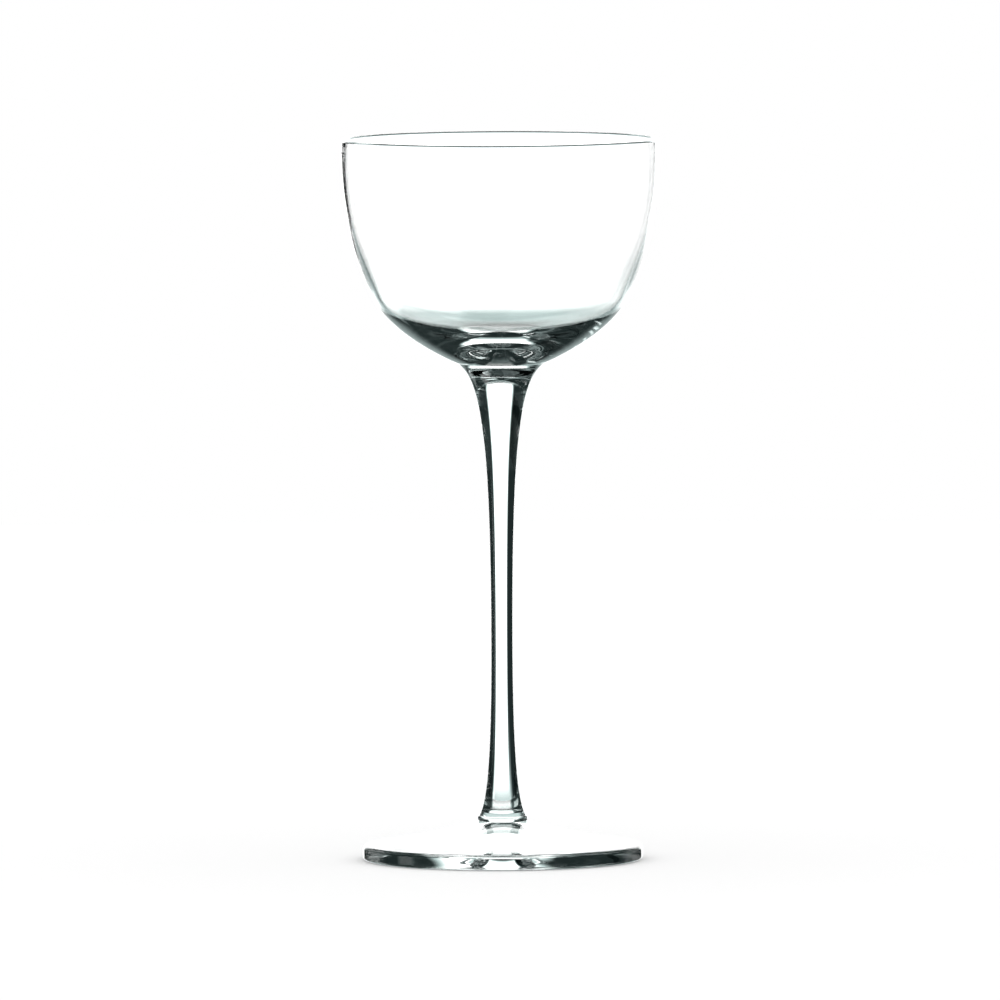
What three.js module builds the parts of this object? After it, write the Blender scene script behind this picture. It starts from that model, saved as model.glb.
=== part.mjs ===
// A stemmed cocktail glass of clear soda-lime glass: bowl, stem, collar and foot.
// Millimetres, +Z up, origin at the centre of the foot's underside, on the table.
// Each piece is one gather of glass turned about the Z axis, and the flat faces where
// two gathers were fused lie face to face.

import * as THREE from 'three';

// Heights, stacked from the table up
const FOOT_HEIGHT = 9.1;
const COLLAR_HEIGHT = 1.3;
const STEM_LENGTH = 106.6;
const BOWL_HEIGHT = 53;

// Bowl: outside. A reach says how far a curve follows its end's slope before it turns away.
const RIM_RADIUS = 37.6;
const RIM_REACH = 15.8;
const HIP_RADIUS = 29.9;
const HIP_HEIGHT = 15;
const HIP_SLOPE = THREE.MathUtils.degToRad(63);
const HIP_REACH_UP = 10.5;
const HIP_REACH_DOWN = 7.7;
const BOWL_END_SLOPE = THREE.MathUtils.degToRad(23);
const BOWL_END_REACH = 6.5;

// Bowl: glass thickness, from the fire-polished bead on the rim to the solid base
const BEAD_RADIUS = 0.6;
const BEAD_LENGTH = 4.8;
const BEAD_REACH = 1.4;
const SIDE_WALL = 1.1;
const HIP_WALL = 1.5;
const BASE_THICKNESS = 4.3;
const INSIDE_RIM_REACH = 15.5;
const INSIDE_HIP_REACH_UP = 8.6;
const INSIDE_HIP_REACH_DOWN = 10.6;
const INSIDE_FLOOR_REACH = 6.8;

// Seam between bowl and stem
const SEAM_RADIUS = 10.2;

// Stem: flare under the bowl, neck below the flare, thin waist, spread lower end
const FLARE_SLOPE = THREE.MathUtils.degToRad(34);
const FLARE_REACH = 5;
const NECK_RADIUS = 4.25;
const NECK_DROP = 17;
const NECK_SLOPE = THREE.MathUtils.degToRad(82.5);
const NECK_REACH_UP = 5.8;
const NECK_REACH_DOWN = 9.8;
const WAIST_RADIUS = 2.53;
const WAIST_HEIGHT = 41.7;
const WAIST_REACH_UP = 20;
const WAIST_REACH_DOWN = 26.5;
const STEM_END_RADIUS = 5.5;
const STEM_END_SLOPE = THREE.MathUtils.degToRad(60);
const STEM_END_REACH = 3.9;

// Collar: how far its rounded edge stands out past the stem's lower end
const COLLAR_BULGE = 0.4;

// Foot: low cone on top, rounded edge, flat ring to stand on, deep hollow underneath
const FOOT_RADIUS = 32.9;
const EDGE_THICKNESS = 3.6;
const EDGE_TOP_ROUND = 1;
const EDGE_UNDER_ROUND = 1.1;
const EDGE_UNDER_RISE = 0.7;
const REST_RING_WIDTH = 4;
const HOLLOW_DEPTH = 5.4;
const HOLLOW_REACH = 5;
const HOLLOW_RIM_SLOPE = THREE.MathUtils.degToRad(4.5);
const HOLLOW_RIM_REACH = 11;
const CONE_EDGE_SLOPE = THREE.MathUtils.degToRad(4.5);
const CONE_EDGE_REACH = 5.4;
const CONE_TOP_SLOPE = THREE.MathUtils.degToRad(14.5);
const CONE_TOP_REACH = 11.7;

// Facets: sides round the axis, and steps along each curve of an outline
const SIDES = 48;
const CURVE_STEPS = 6;

// Levels where the pieces meet
const COLLAR_LEVEL = FOOT_HEIGHT;
const STEM_LEVEL = COLLAR_LEVEL + COLLAR_HEIGHT;
const SEAM_LEVEL = STEM_LEVEL + STEM_LENGTH;
const RIM_LEVEL = SEAM_LEVEL + BOWL_HEIGHT;

const LEVEL_OUT = 0;
const LEVEL_IN = Math.PI;
const STRAIGHT_UP = Math.PI / 2;
const STRAIGHT_DOWN = -Math.PI / 2;

// A point of an outline and the direction in which the outline runs through it
function station(radius, height, direction) {
  const way = new THREE.Vector2(Math.cos(direction), Math.sin(direction));
  return { at: new THREE.Vector2(radius, height), way };
}

// The same point, with the outline running the other way
function turned(from) {
  return { at: from.at, way: from.way.clone().negate() };
}

// A smooth curve from one station to the next, following each end's direction for its reach
function curve(outline, from, leave, to, arrive) {
  const first = from.at.clone().addScaledVector(from.way, leave);
  const last = to.at.clone().addScaledVector(to.way, -arrive);
  outline.bezierCurveTo(first.x, first.y, last.x, last.y, to.at.x, to.at.y);
}

// A solid of revolution about Z from a half outline that starts and ends on the axis
function turnedGlass(name, outline) {
  const geometry = new THREE.LatheGeometry(outline.getPoints(CURVE_STEPS), SIDES);
  geometry.rotateX(Math.PI / 2);
  const glass = new THREE.MeshStandardMaterial({
    color: 0xe9f1ef,
    roughness: 0.03,
    metalness: 0,
    transparent: true,
    opacity: 0.35,
  });
  const mesh = new THREE.Mesh(geometry, glass);
  mesh.name = name;
  return mesh;
}

function makeBowl() {
  const bead = new THREE.Vector2(RIM_RADIUS - BEAD_RADIUS, RIM_LEVEL - BEAD_RADIUS);
  const seam = station(SEAM_RADIUS, SEAM_LEVEL, BOWL_END_SLOPE);
  const hip = station(HIP_RADIUS, SEAM_LEVEL + HIP_HEIGHT, HIP_SLOPE);
  const rim = station(RIM_RADIUS, bead.y, STRAIGHT_UP);
  const beadInside = station(bead.x - BEAD_RADIUS, bead.y, STRAIGHT_DOWN);
  const underBead = station(RIM_RADIUS - SIDE_WALL, RIM_LEVEL - BEAD_LENGTH, STRAIGHT_DOWN);
  const insideHip = turned(hip);
  insideHip.at = new THREE.Vector2(-hip.way.y, hip.way.x).multiplyScalar(HIP_WALL).add(hip.at);
  const floor = station(0, SEAM_LEVEL + BASE_THICKNESS, LEVEL_IN);

  const outline = new THREE.Path();
  outline.moveTo(0, SEAM_LEVEL);
  outline.lineTo(seam.at.x, seam.at.y);
  curve(outline, seam, BOWL_END_REACH, hip, HIP_REACH_DOWN);
  curve(outline, hip, HIP_REACH_UP, rim, RIM_REACH);
  outline.absarc(bead.x, bead.y, BEAD_RADIUS, 0, Math.PI, false);
  curve(outline, beadInside, BEAD_REACH, underBead, BEAD_REACH);
  curve(outline, underBead, INSIDE_RIM_REACH, insideHip, INSIDE_HIP_REACH_UP);
  curve(outline, insideHip, INSIDE_HIP_REACH_DOWN, floor, INSIDE_FLOOR_REACH);
  return turnedGlass('bowl', outline);
}

function makeStem() {
  const end = station(STEM_END_RADIUS, STEM_LEVEL, Math.PI - STEM_END_SLOPE);
  const waist = station(WAIST_RADIUS, STEM_LEVEL + WAIST_HEIGHT, STRAIGHT_UP);
  const neck = station(NECK_RADIUS, SEAM_LEVEL - NECK_DROP, NECK_SLOPE);
  const flare = station(SEAM_RADIUS, SEAM_LEVEL, FLARE_SLOPE);

  const outline = new THREE.Path();
  outline.moveTo(0, STEM_LEVEL);
  outline.lineTo(end.at.x, end.at.y);
  curve(outline, end, STEM_END_REACH, waist, WAIST_REACH_DOWN);
  curve(outline, waist, WAIST_REACH_UP, neck, NECK_REACH_DOWN);
  curve(outline, neck, NECK_REACH_UP, flare, FLARE_REACH);
  outline.lineTo(0, SEAM_LEVEL);
  return turnedGlass('stem', outline);
}

function makeCollar() {
  const half = COLLAR_HEIGHT / 2;
  const outline = new THREE.Path();
  outline.moveTo(0, COLLAR_LEVEL);
  outline.lineTo(STEM_END_RADIUS, COLLAR_LEVEL);
  outline.absellipse(
    STEM_END_RADIUS, COLLAR_LEVEL + half, COLLAR_BULGE, half, STRAIGHT_DOWN, STRAIGHT_UP, false,
  );
  outline.lineTo(0, STEM_LEVEL);
  return turnedGlass('collar', outline);
}

function makeFoot() {
  const ringOuter = FOOT_RADIUS - EDGE_UNDER_ROUND;
  const ringInner = station(ringOuter - REST_RING_WIDTH, 0, -HOLLOW_RIM_SLOPE);
  const hollow = station(0, HOLLOW_DEPTH, LEVEL_OUT);
  const topRound = new THREE.Vector2(FOOT_RADIUS - EDGE_TOP_ROUND, EDGE_THICKNESS - EDGE_TOP_ROUND);
  const edge = station(topRound.x, EDGE_THICKNESS, Math.PI - CONE_EDGE_SLOPE);
  const boss = station(STEM_END_RADIUS, FOOT_HEIGHT, Math.PI - CONE_TOP_SLOPE);

  const outline = new THREE.Path();
  outline.moveTo(hollow.at.x, hollow.at.y);
  curve(outline, hollow, HOLLOW_REACH, ringInner, HOLLOW_RIM_REACH);
  outline.lineTo(ringOuter, 0);
  outline.absellipse(
    ringOuter, EDGE_UNDER_RISE, EDGE_UNDER_ROUND, EDGE_UNDER_RISE, STRAIGHT_DOWN, LEVEL_OUT, false,
  );
  outline.lineTo(FOOT_RADIUS, topRound.y);
  outline.absarc(topRound.x, topRound.y, EDGE_TOP_ROUND, LEVEL_OUT, STRAIGHT_UP, false);
  curve(outline, edge, CONE_EDGE_REACH, boss, CONE_TOP_REACH);
  outline.lineTo(0, FOOT_HEIGHT);
  return turnedGlass('foot', outline);
}

const cocktailGlass = new THREE.Group();
cocktailGlass.add(makeBowl(), makeStem(), makeCollar(), makeFoot());

export default cocktailGlass;
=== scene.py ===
# %% [markdown]
# A stemmed cocktail glass, photographed against white.
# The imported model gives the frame: four gathers of glass, bowl, stem, collar and foot, in metres, with +Z up
# and the table at zero. This lesson dresses that frame: each gather gets a finely turned mesh, the glass gets
# its material, and a studio of light panels and dark cards draws the edges that let the eye see clear glass.

# %% Load the frame
import math

import bmesh
import bpy
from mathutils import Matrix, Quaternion, Vector
from mathutils.geometry import interpolate_bezier


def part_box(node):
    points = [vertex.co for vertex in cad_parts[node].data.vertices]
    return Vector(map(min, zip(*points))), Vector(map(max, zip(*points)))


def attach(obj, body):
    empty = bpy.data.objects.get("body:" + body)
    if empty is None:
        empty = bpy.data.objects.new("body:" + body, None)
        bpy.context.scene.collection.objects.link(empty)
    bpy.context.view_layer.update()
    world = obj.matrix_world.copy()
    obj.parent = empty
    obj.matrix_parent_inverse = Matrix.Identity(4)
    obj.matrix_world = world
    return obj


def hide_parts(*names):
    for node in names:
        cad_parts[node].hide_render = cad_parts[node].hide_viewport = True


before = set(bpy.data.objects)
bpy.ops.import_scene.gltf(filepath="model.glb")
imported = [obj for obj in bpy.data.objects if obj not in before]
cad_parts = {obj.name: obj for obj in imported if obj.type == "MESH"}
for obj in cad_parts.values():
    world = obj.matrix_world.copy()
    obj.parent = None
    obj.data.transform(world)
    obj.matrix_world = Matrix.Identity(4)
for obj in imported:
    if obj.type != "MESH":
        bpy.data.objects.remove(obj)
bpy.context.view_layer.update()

print("nodes in the frame:", sorted(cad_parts))

# %% [markdown]
# Every piece of the glass is a solid of revolution, so all that has to be drawn is half of its outline.
# The outline could be a long list of points, but a drawing by hand has only a few: places where the wall
# changes its mind. Here such a place is a station, with a radius and a height in millimetres, the heading
# of the wall in degrees and how far the wall keeps that heading before and after it. Those numbers are the
# knot and the two handles of a Bezier curve, so Blender draws the rest. A station with no reach is a corner.

# %% Draw half outlines from a few stations
MM = 0.001
POINTS_PER_CURVE = 28
OUT, UP, IN, DOWN = 0, 90, 180, 270  # headings in degrees


def station(radius, height, heading=OUT, before=0.0, after=0.0):
    """A place on a half outline, in millimetres and degrees, with its two handles."""
    way = Vector((math.cos(math.radians(heading)), 0.0, math.sin(math.radians(heading))))
    place = Vector((radius, 0.0, height))
    return {"before": place - way * before, "at": place, "after": place + way * after}


def half_outline(stations):
    """The points of the smooth line through the stations, in metres."""
    points = [stations[0]["at"]]
    for here, there in zip(stations, stations[1:]):
        handles = (here["at"], here["after"], there["before"], there["at"])
        straight = here["after"] == here["at"] and there["before"] == there["at"]
        steps = 2 if straight else POINTS_PER_CURVE
        points += interpolate_bezier(*handles, steps)[1:]
    return [point * MM for point in points]


# %% [markdown]
# A lathe turns the half outline into a solid. Blender's Screw modifier could do it, but the spin operator
# of bmesh leaves a plain mesh whose faces can be picked right away. The two ends of each outline lie on the
# axis, where the spin leaves one vertex per step, so doubles are merged there before the normals are turned
# outwards. Shading is smooth, apart from edges that turn by more than a few degrees, because a corner that is
# shaded smooth would bend the light in clear glass where the real surface is flat.

# %% Turn a half outline into a closed glass solid
TURNING_STEPS = 192
MERGE_DISTANCE = 0.002 * MM
CORNER_ANGLE = math.radians(14)


def new_object(name, shape):
    """A finished bmesh as a new object at the origin of the scene."""
    mesh = bpy.data.meshes.new(name)
    shape.to_mesh(mesh)
    shape.free()
    made = bpy.data.objects.new(name, mesh)
    bpy.context.scene.collection.objects.link(made)
    return made


def turned(name, stations):
    """A closed solid of revolution about Z."""
    shape = bmesh.new()
    line = [shape.verts.new(point) for point in half_outline(stations)]
    edges = [shape.edges.new(pair) for pair in zip(line, line[1:])]
    bmesh.ops.spin(
        shape, geom=line + edges, axis=(0, 0, 1), cent=(0, 0, 0),
        angle=math.tau, steps=TURNING_STEPS, use_merge=True,
    )
    bmesh.ops.remove_doubles(shape, verts=shape.verts, dist=MERGE_DISTANCE)
    bmesh.ops.recalc_face_normals(shape, faces=shape.faces)
    for face in shape.faces:
        face.smooth = True
    piece = new_object(name, shape)
    piece.data.set_sharp_from_angle(angle=CORNER_ANGLE)
    size = [round(side / MM, 2) for side in piece.dimensions]
    print(f"{name}: {len(piece.data.polygons)} faces, size {size} mm")
    return piece


# %% [markdown]
# The sizes that the pieces share come from the frame, so the meshes meet where the solids meet: the level of
# each fused seam, and the radius of the rim, of the seam under the bowl, of the collar and of the foot.

# %% Read the shared sizes from the frame
rim_radius, rim_level = (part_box("bowl")[1][axis] / MM for axis in (0, 2))
seam_radius, seam_level = (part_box("stem")[1][axis] / MM for axis in (0, 2))
stem_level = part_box("stem")[0].z / MM
collar_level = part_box("collar")[0].z / MM
collar_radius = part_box("collar")[1].x / MM
foot_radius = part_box("foot")[1].x / MM
print(f"rim {rim_radius:.2f} at {rim_level:.1f}, seam {seam_radius:.2f} at {seam_level:.1f} mm")
print(f"stem from {stem_level:.1f}, collar from {collar_level:.1f}, foot radius {foot_radius:.2f} mm")

# %% [markdown]
# The bowl was blown: its side is thin, its base is the thick cushion of glass that stayed on the pipe,
# and its rim was cut and melted round, which leaves a small bead. The outline runs from the middle of the
# seam along the outside to the bead and back down the inside to the middle of the floor. The inside hip lies
# square to the outside hip, one wall thickness away, so the thickness is a size and not an accident.

# %% Turn the bowl
HIP_RADIUS, HIP_HEIGHT, HIP_HEADING, HIP_WALL = 29.9, 15.0, 63.0, 1.5
BEAD_RADIUS, BEAD_LENGTH, SIDE_WALL = 0.6, 4.8, 1.1
BASE_THICKNESS = 4.3
ROUND = 0.5523  # a Bezier handle of this share of the radius makes a quarter circle

bead_middle = rim_radius - BEAD_RADIUS
bead_level = rim_level - BEAD_RADIUS
hip_level = seam_level + HIP_HEIGHT
inside_hip_radius = HIP_RADIUS - HIP_WALL * math.sin(math.radians(HIP_HEADING))
inside_hip_level = hip_level + HIP_WALL * math.cos(math.radians(HIP_HEADING))
bead_handle = BEAD_RADIUS * ROUND

bowl = turned("bowl_glass", [
    station(0, seam_level),
    station(seam_radius, seam_level, heading=23, after=6.5),
    station(HIP_RADIUS, hip_level, HIP_HEADING, before=7.7, after=10.5),
    station(rim_radius, bead_level, UP, before=15.8, after=bead_handle),
    station(bead_middle, rim_level, IN, before=bead_handle, after=bead_handle),
    station(bead_middle - BEAD_RADIUS, bead_level, DOWN, before=bead_handle, after=1.4),
    station(rim_radius - SIDE_WALL, rim_level - BEAD_LENGTH, DOWN, before=1.4, after=15.5),
    station(inside_hip_radius, inside_hip_level, HIP_HEADING + 180, before=8.6, after=10.6),
    station(0, seam_level + BASE_THICKNESS, IN, before=6.8),
])

# %% [markdown]
# The stem was drawn from a gather of hot glass: wide where it meets the bowl, thinnest below the middle,
# and spread again at the lower end where it was pressed on to the collar.

# %% Turn the stem
NECK_RADIUS, NECK_DROP = 4.25, 17.0
WAIST_RADIUS, WAIST_HEIGHT = 2.53, 41.7
STEM_END_RADIUS = 5.5

stem = turned("stem_glass", [
    station(0, stem_level),
    station(STEM_END_RADIUS, stem_level, heading=120, after=3.9),
    station(WAIST_RADIUS, stem_level + WAIST_HEIGHT, UP, before=26.5, after=20),
    station(NECK_RADIUS, seam_level - NECK_DROP, heading=82.5, before=9.8, after=5.8),
    station(seam_radius, seam_level, heading=34, before=5),
    station(0, seam_level),
])

# %% [markdown]
# The collar, which glass makers call a merese, is a small drop of glass between stem and foot.
# It spread under its own weight, so its edge is a low round that stands out past the end of the stem.

# %% Turn the collar
collar_half = (stem_level - collar_level) / 2
edge_handle = collar_half * ROUND
bulge_handle = (collar_radius - STEM_END_RADIUS) * ROUND

collar = turned("collar_glass", [
    station(0, collar_level),
    station(STEM_END_RADIUS, collar_level, OUT, after=bulge_handle),
    station(collar_radius, collar_level + collar_half, UP, before=edge_handle, after=edge_handle),
    station(STEM_END_RADIUS, stem_level, IN, before=bulge_handle),
    station(0, stem_level),
])

# %% [markdown]
# The foot was pressed or spun while soft. Its top is a low cone that runs out almost level, its edge is thick
# and round below, and only a ring near the edge touches the table, because the underside is a deep hollow.

# %% Turn the foot
EDGE_THICKNESS, EDGE_TOP_ROUND = 3.6, 1.0
EDGE_UNDER_ROUND, EDGE_UNDER_RISE = 1.1, 0.7
REST_RING_WIDTH, HOLLOW_DEPTH = 4.0, 5.4

ring_outer = foot_radius - EDGE_UNDER_ROUND
top_handle = EDGE_TOP_ROUND * ROUND

foot = turned("foot_glass", [
    station(0, HOLLOW_DEPTH, OUT, after=5),
    station(ring_outer - REST_RING_WIDTH, 0, heading=-4.5, before=11),
    station(ring_outer, 0, OUT, after=EDGE_UNDER_ROUND * ROUND),
    station(foot_radius, EDGE_UNDER_RISE, UP, before=EDGE_UNDER_RISE * ROUND),
    station(foot_radius, EDGE_THICKNESS - EDGE_TOP_ROUND, UP, after=top_handle),
    station(foot_radius - EDGE_TOP_ROUND, EDGE_THICKNESS, heading=175.5, before=top_handle, after=5.4),
    station(STEM_END_RADIUS, collar_level, heading=165.5, before=11.7),
    station(0, collar_level),
])

# %% [markdown]
# Colours are written as sRGB hex values, the way a picture editor shows them, and shaders want linear light,
# so one function turns the first into the second. One more function adds a shader node with its settings and
# its links, which keeps each material below a short list of nodes.

# %% Two helpers for materials
def linear(hex_colour):
    """A linear RGBA colour from an sRGB hex value."""
    shares = [int(hex_colour[i:i + 2], 16) / 255 for i in (1, 3, 5)]
    return [s / 12.92 if s <= 0.04045 else ((s + 0.055) / 1.055) ** 2.4 for s in shares] + [1.0]


def add_node(tree, kind, inputs=None, **settings):
    """Adds a node; inputs maps a socket's name or number to a value or to another node's output."""
    node = tree.nodes.new(kind)
    for setting, value in settings.items():
        setattr(node, setting, value)
    for socket, value in (inputs or {}).items():
        if isinstance(value, bpy.types.NodeSocket):
            tree.links.new(value, node.inputs[socket])
        else:
            node.inputs[socket].default_value = value
    return node


# %% [markdown]
# The glass is clear soda-lime glass with a fire-polished surface: smooth as a liquid, but never quite even.
# Its index of refraction is about 1.52. Iron in the sand gives a faint green cast that shows where light
# runs through much glass, so the tint is a little deeper below the bowl's side than in its thin wall.
# A long, shallow wave is all that polishing leaves on the surface, and it is what makes the thick base
# sparkle unevenly. It is drawn as bump, because it is far too shallow to be seen in the outline.

# %% Make the glass
REFRACTION = 1.52
THIN_GLASS, THICK_GLASS = "#ffffff", "#fbfefd"
THICK_BELOW, THIN_ABOVE = 124.0, 142.0  # heights in millimetres
WAVE_LENGTH, WAVE_DEPTH = 9.0, 0.006  # millimetres
ROUGHEST = 0.01


def new_material(name):
    material = bpy.data.materials.new(name)
    material.use_nodes = True
    material.node_tree.nodes.clear()
    return material, material.node_tree


def make_glass():
    material, tree = new_material("fire_polished_soda_lime_glass")
    place = add_node(tree, "ShaderNodeTexCoord").outputs["Object"]
    height = add_node(tree, "ShaderNodeSeparateXYZ", {0: place}).outputs["Z"]
    thinness = add_node(tree, "ShaderNodeMapRange", {
        "Value": height, "From Min": THICK_BELOW * MM, "From Max": THIN_ABOVE * MM,
    })
    tint = add_node(tree, "ShaderNodeMix", {
        "Factor": thinness.outputs[0], "A": linear(THICK_GLASS), "B": linear(THIN_GLASS),
    }, data_type="RGBA")
    wave = add_node(tree, "ShaderNodeTexNoise", {
        "Vector": place, "Scale": 1 / (WAVE_LENGTH * MM), "Detail": 1.0,
    })
    bump = add_node(tree, "ShaderNodeBump", {"Height": wave.outputs[0], "Distance": WAVE_DEPTH * MM})
    polish = add_node(tree, "ShaderNodeMapRange", {
        "Value": wave.outputs[0], "To Min": 0.0, "To Max": ROUGHEST,
    })
    glass = add_node(tree, "ShaderNodeBsdfPrincipled", {
        "Base Color": tint.outputs["Result"], "Roughness": polish.outputs[0], "Normal": bump.outputs[0],
        "IOR": REFRACTION, "Transmission Weight": 1.0,
    })
    add_node(tree, "ShaderNodeOutputMaterial", {"Surface": glass.outputs[0]})
    return material


clear_glass = make_glass()
print("made", clear_glass.name)

# %% [markdown]
# Where two gathers were fused, the glass runs on without a surface. Each mesh is closed there by a flat disc,
# and a second material with no opacity lets light pass through the discs as if they were not there.

# %% Make the fused seams vanish
LEVEL_FACE = 0.9999  # a face whose normal rises by this share or more lies level


def make_fused_seam():
    material, tree = new_material("fused_seam_inside_the_glass")
    seam = add_node(tree, "ShaderNodeBsdfPrincipled", {"Alpha": 0.0, "Roughness": 0.0})
    add_node(tree, "ShaderNodeOutputMaterial", {"Surface": seam.outputs[0]})
    return material


fused_seam = make_fused_seam()


def fuse(piece, *levels):
    """Gives the glass to a piece, and the seam to its flat discs at these levels."""
    piece.data.materials.append(clear_glass)
    piece.data.materials.append(fused_seam)
    discs = 0
    for face in piece.data.polygons:
        flat = abs(face.normal.z) > LEVEL_FACE
        if flat and any(abs(face.center.z - level * MM) < MERGE_DISTANCE for level in levels):
            face.material_index = 1
            discs += 1
    print(f"{piece.name}: {discs} faces are fused seam")


fuse(bowl, seam_level)
fuse(stem, stem_level, seam_level)
fuse(collar, collar_level, stem_level)
fuse(foot, collar_level)

# %% [markdown]
# Each mesh now stands for its CAD node and rides on the one body that the glass has.

# %% Tie the pieces to the frame
for piece, node in ((bowl, "bowl"), (stem, "stem"), (collar, "collar"), (foot, "foot")):
    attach(piece, "root")
    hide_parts(node)
print("visual pieces:", [piece.name for piece in (bowl, stem, collar, foot)])

# %% [markdown]
# Clear glass shows only what stands around it. Photographers set it before a bright panel, so that the middle
# is white, and put dark cards beside that panel, which the curved edges bend into view as dark lines.
# The same set is built here as a sky: each panel covers a range of directions, azimuth 0 being straight
# behind the glass and elevation 0 the horizon, and all that no panel covers is dark. A sky has no distance,
# so the glass sees it alike from foot to rim. A lit panel is brighter than white paper, so even a part of its
# light, seen through the edge of a wall, still shows as white and keeps the thin walls crisp.

# %% List the panels of the studio
WHITE, MIDDLE_GREY, DARK_CARD = "#ffffff", "#8e9b9a", "#0b1212"
MIDDLE_LEVEL = 0.32  # the brightness that shows as middle grey
PANEL_STRENGTH = 2.2
DARK_ROOM = 0.004
# name, middle azimuth, half width, lowest and highest elevation, soft edge in degrees, brightness from 0 to 1
STUDIO = [
    ("high panel on the right", 48.9, 29.6, 65.3, 78.3, 4, 0.48),
    ("high panel on the left", -35.9, 6.3, 36.6, 78.2, 5, 0.19),
    ("dim room in front", 174.9, 49.8, 12.4, 85.9, 1, 0.14),
    ("table on the left", -101.3, 20, -68, -41.4, 3, 1),
    ("table on the right", 123, 39.4, -87.6, -55.8, 1.2, 0.36),
    ("table beyond on the left", -43, 12.2, -33, -20.5, 2.9, 0.55),
    ("panel in front", 138, 12, -22, -6.7, 1, 0.5),
    ("panel on the left", -92, 8, -8, 0, 3, 0.55),
    ("backdrop", 2.7, 21.8, -19.4, 33.1, 3.5, 1),
    ("table behind", 0, 23, -29.3, -12, 7, 0.35),
]
print(f"studio of {len(STUDIO)} panels")

# %% [markdown]
# On a map of azimuth and elevation each panel is a rectangle. How far a direction lies past its edges decides
# how much of the panel it sees, with a soft step at the edge, and a later panel covers an earlier one.
# The map's left and right ends meet in front of the glass, so the distance is wrapped to half a turn.

# %% Paint one panel on the sky
HALF_TURN = (math.pi, math.pi, math.pi)
HALF_TURN_BACK = (-math.pi, -math.pi, -math.pi)


def paint_panel(tree, bearing, level, panel):
    """The brightness of the sky once this panel covers the brightness so far."""
    name, middle, half, low, high, soft, brightness = panel
    centre = (math.radians(middle), math.radians(low + high) / 2, 0)
    size = (math.radians(half), math.radians(high - low) / 2, math.pi)
    offset = add_node(tree, "ShaderNodeVectorMath", {0: bearing, 1: centre}, operation="SUBTRACT")
    near = add_node(tree, "ShaderNodeVectorMath", {
        0: offset.outputs[0], 1: HALF_TURN, 2: HALF_TURN_BACK,
    }, operation="WRAP")
    aside = add_node(tree, "ShaderNodeVectorMath", {0: near.outputs[0]}, operation="ABSOLUTE")
    past = add_node(tree, "ShaderNodeVectorMath", {0: aside.outputs[0], 1: size}, operation="SUBTRACT")
    past_side, past_top, _ = add_node(tree, "ShaderNodeSeparateXYZ", {0: past.outputs[0]}).outputs
    edge = add_node(tree, "ShaderNodeMath", {0: past_side, 1: past_top}, operation="MAXIMUM")
    cover = add_node(tree, "ShaderNodeMapRange", {
        "Value": edge.outputs[0], "From Min": math.radians(soft), "From Max": -math.radians(soft),
    }, interpolation_type="SMOOTHSTEP")
    painted = add_node(tree, "ShaderNodeMix", {
        "Factor": cover.outputs[0], "A": level, "B": brightness,
    }, label=name)
    return painted.outputs["Result"]


# %% [markdown]
# The painted brightness becomes a colour, from the dark of the room through a greenish middle grey to white.
# Only light that the glass bends or mirrors sees this sky: the camera and the floor see plain white.

# %% Build the studio as a sky
def make_studio():
    world = bpy.data.worlds.new("white_studio_with_dark_cards")
    world.use_nodes = True
    tree = world.node_tree
    tree.nodes.clear()
    way = add_node(tree, "ShaderNodeTexCoord").outputs["Generated"]
    x, y, z = add_node(tree, "ShaderNodeSeparateXYZ", {0: way}).outputs
    around = add_node(tree, "ShaderNodeMath", {0: x, 1: y}, operation="ARCTAN2")
    up = add_node(tree, "ShaderNodeMath", {0: z}, operation="ARCSINE")
    bearing = add_node(tree, "ShaderNodeCombineXYZ", {"X": around.outputs[0], "Y": up.outputs[0]})
    level = DARK_ROOM
    for panel in STUDIO:
        level = paint_panel(tree, bearing.outputs[0], level, panel)
    tones = add_node(tree, "ShaderNodeValToRGB", {"Fac": level})
    ramp = tones.color_ramp.elements
    ramp[0].color = linear(DARK_CARD)
    ramp[1].color = linear(WHITE)
    ramp.new(MIDDLE_LEVEL).color = linear(MIDDLE_GREY)
    studio = add_node(tree, "ShaderNodeBackground", {"Color": tones.outputs[0], "Strength": PANEL_STRENGTH})
    plain = add_node(tree, "ShaderNodeBackground", {"Color": linear(WHITE), "Strength": 1.0})
    path = add_node(tree, "ShaderNodeLightPath").outputs
    by_glass = add_node(tree, "ShaderNodeMath", {
        0: path["Is Transmission Ray"], 1: path["Is Glossy Ray"],
    }, operation="MAXIMUM")
    seen = add_node(tree, "ShaderNodeMixShader", {
        0: by_glass.outputs[0], 1: plain.outputs[0], 2: studio.outputs[0],
    })
    add_node(tree, "ShaderNodeOutputWorld", {"Surface": seen.outputs[0]})
    print(f"{world.name}: {len(tree.nodes)} nodes")
    return world


bpy.context.scene.world = make_studio()

# %% [markdown]
# The sky is the same for the whole glass, but the bowl's left wall has a crisp dark line that the stem below
# doesn't share, and the ends of the foot are dark up to their outline. So three dark cards stand close
# behind: one on the left at the bowl's height and a low one on each side of the foot. The low ones lie under
# the level of the table, where a glossy table would show the mirror image of a card.
# Only light that comes through the glass or off it meets the cards, so they cast no shadow.

# %% Stand cards beside the bowl and the foot
# name, left and right edge, lower and upper edge, distance behind the glass, all in millimetres
CARDS = [
    ("dark_card_left_of_the_bowl", -400, -99, 105, 190, 250),
    ("dark_card_left_of_the_foot", -300, -54, -30, -2, 80),
    ("dark_card_right_of_the_foot", 54, 300, -30, -2, 80),
]


def make_card_material():
    material, tree = new_material("matt_black_card")
    matt = add_node(tree, "ShaderNodeBsdfDiffuse", {"Color": linear(DARK_CARD)})
    add_node(tree, "ShaderNodeOutputMaterial", {"Surface": matt.outputs[0]})
    return material


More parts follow.
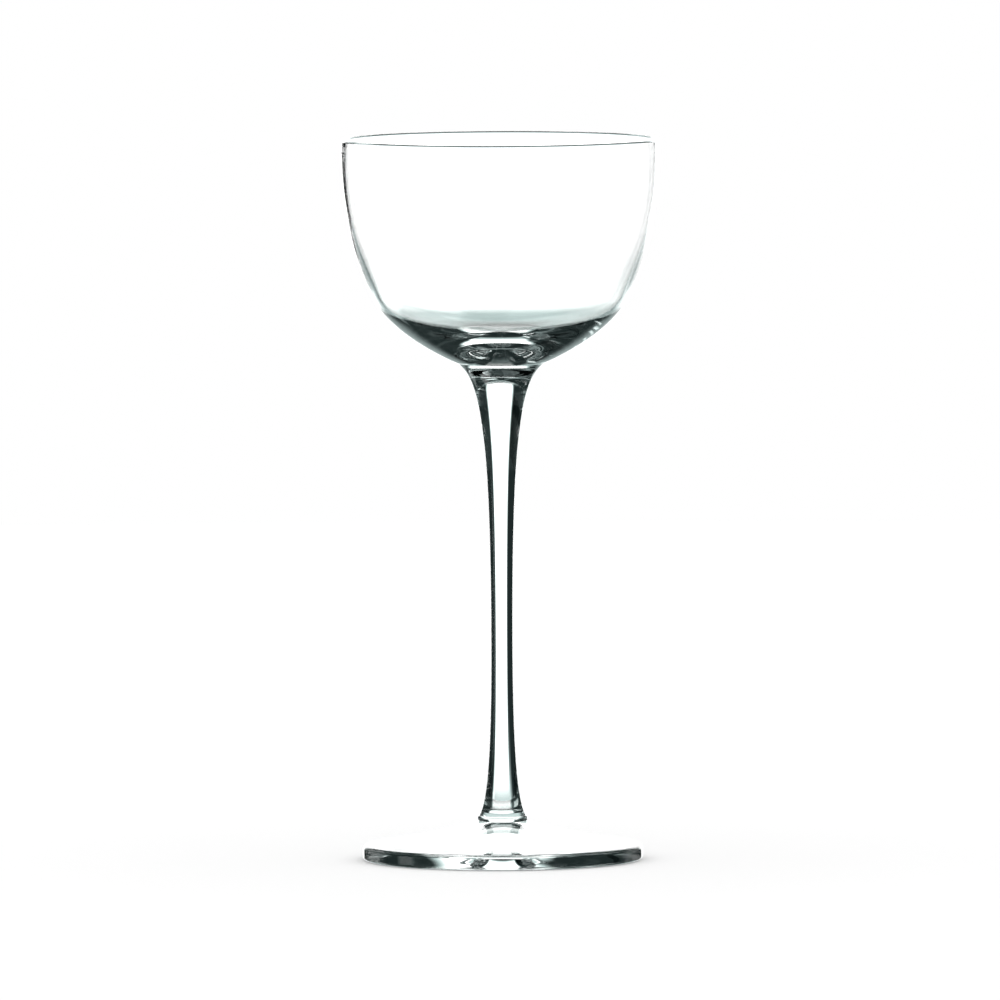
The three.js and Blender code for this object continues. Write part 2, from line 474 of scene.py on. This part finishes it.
def make_card(name, left, right, bottom, top, behind, material):
    shape = bmesh.new()
    corners = [(left, bottom), (right, bottom), (right, top), (left, top)]
    shape.faces.new([shape.verts.new((x * MM, behind * MM, z * MM)) for x, z in corners])
    card = new_object(name, shape)
    card.data.materials.append(material)
    card.visible_camera = False
    card.visible_diffuse = False
    card.visible_shadow = False
    print("stood up", card.name)


matt_black = make_card_material()
for card_sizes in CARDS:
    make_card(*card_sizes, matt_black)

# %% [markdown]
# The floor is a plain pale disc. It catches the soft shadow of the glass, and a little light of its own,
# which only the camera sees, brings the open floor up to the white of the backdrop. Light in the glass
# passes through it, so the glass shows the lower panels of the studio and not the floor.

# %% Lay the floor
FLOOR_RADIUS = 1.2  # metres
FLOOR_SIDES = 96
FLOOR_DROP = 0.1 * MM
FLOOR_COLOUR = "#f7f7f7"
FLOOR_GLOW = 0.1


def make_floor_material():
    material, tree = new_material("matt_white_table")
    matt = add_node(tree, "ShaderNodeBsdfDiffuse", {"Color": linear(FLOOR_COLOUR)})
    to_camera = add_node(tree, "ShaderNodeLightPath").outputs["Is Camera Ray"]
    strength = add_node(tree, "ShaderNodeMath", {0: to_camera, 1: FLOOR_GLOW}, operation="MULTIPLY")
    glow = add_node(tree, "ShaderNodeEmission", {"Strength": strength.outputs[0]})
    both = add_node(tree, "ShaderNodeAddShader", {0: matt.outputs[0], 1: glow.outputs[0]})
    add_node(tree, "ShaderNodeOutputMaterial", {"Surface": both.outputs[0]})
    return material


def make_floor():
    shape = bmesh.new()
    bmesh.ops.create_circle(shape, cap_ends=True, segments=FLOOR_SIDES, radius=FLOOR_RADIUS)
    bmesh.ops.translate(shape, verts=shape.verts, vec=(0, 0, -FLOOR_DROP))
    floor = new_object("studio_floor", shape)
    floor.data.materials.append(make_floor_material())
    floor.visible_transmission = False
    floor.visible_glossy = False
    print(f"{floor.name}: radius {FLOOR_RADIUS} m")


make_floor()

# %% [markdown]
# The photograph was taken from far off with a long lens, a little above the glass: the rim is a narrow
# ellipse and the foot a slightly wider one, which gives the camera's height and distance.

# %% Set up the camera
CAMERA_DISTANCE, CAMERA_HEIGHT = 4.6, 0.386  # metres
AIM = Vector((-0.00033, 0.0, 0.0848))
FRAME_WIDTH = 0.2354  # metres across the picture at the glass
ROLL = math.radians(-0.229)  # the photographed glass leans by this much
SENSOR_WIDTH = 36.0  # millimetres
SIGHT_LIMIT = 50.0  # metres


def make_camera():
    data = bpy.data.cameras.new("camera")
    camera = bpy.data.objects.new("camera", data)
    bpy.context.scene.collection.objects.link(camera)
    camera.location = (0.0, -CAMERA_DISTANCE, CAMERA_HEIGHT)
    sight = AIM - camera.location
    roll = Quaternion((0.0, 0.0, 1.0), ROLL)
    camera.rotation_euler = (sight.to_track_quat("-Z", "Y") @ roll).to_euler()
    data.sensor_width = SENSOR_WIDTH
    data.lens = SENSOR_WIDTH * sight.length / FRAME_WIDTH
    data.clip_end = SIGHT_LIMIT
    dip = math.degrees(math.asin(-sight.z / sight.length))
    print(f"lens {data.lens:.1f} mm, looking down {dip:.2f} degrees")
    return camera


bpy.context.scene.camera = make_camera()

# %% [markdown]
# Light crosses many surfaces in a glass, so it is followed further than Blender's defaults do.
# The view transform is Standard, which shows a colour as it is written.

# %% Light paths and view transform
LIGHT_BOUNCES = 24
scene = bpy.context.scene
scene.cycles.max_bounces = LIGHT_BOUNCES
scene.cycles.transmission_bounces = LIGHT_BOUNCES
scene.cycles.glossy_bounces = LIGHT_BOUNCES
scene.cycles.transparent_max_bounces = LIGHT_BOUNCES
scene.view_settings.view_transform = "Standard"
print("light bounces", LIGHT_BOUNCES)
